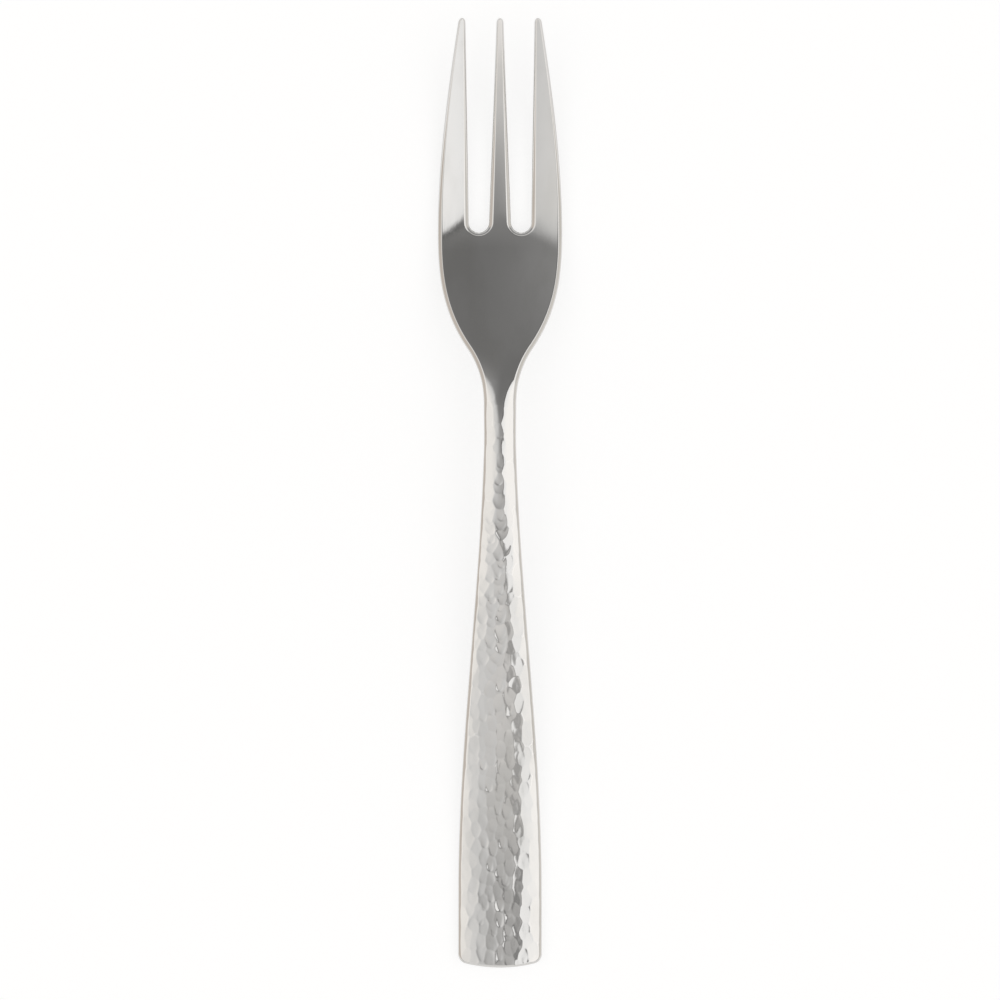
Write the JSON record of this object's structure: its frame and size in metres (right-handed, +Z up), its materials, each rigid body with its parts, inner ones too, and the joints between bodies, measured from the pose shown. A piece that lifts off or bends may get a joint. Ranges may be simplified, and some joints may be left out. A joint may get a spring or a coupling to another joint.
{
  "type": "cocktail fork",
  "caption": "Small slender cocktail fork: curved tapering tines on a dished palm, a narrow neck, and a broad flat handle with a hammered front, for picking up small bites of food.",
  "frame": {"origin": "on the table plane, under the middle of the fork's length and width, with the fork lying on its back", "axes": "+Y along the fork from the butt of the handle to the tine tips, +X to the right across its width, +Z up out of the hammered front"},
  "size_m": [0.0198, 0.15, 0.0098],
  "materials": {
    "hammered_steel": "mirror-polished stainless steel, hammered on the front with small shallow overlapping dents",
    "polished_steel": "smooth mirror-polished stainless steel with fine hairline wear"
  },
  "bodies": {
    "root": {"handle": "hammered_steel", "neck": "polished_steel", "palm": "polished_steel", "left_tine": "polished_steel", "middle_tine": "polished_steel", "right_tine": "polished_steel"}
  },
  "joints": []
}
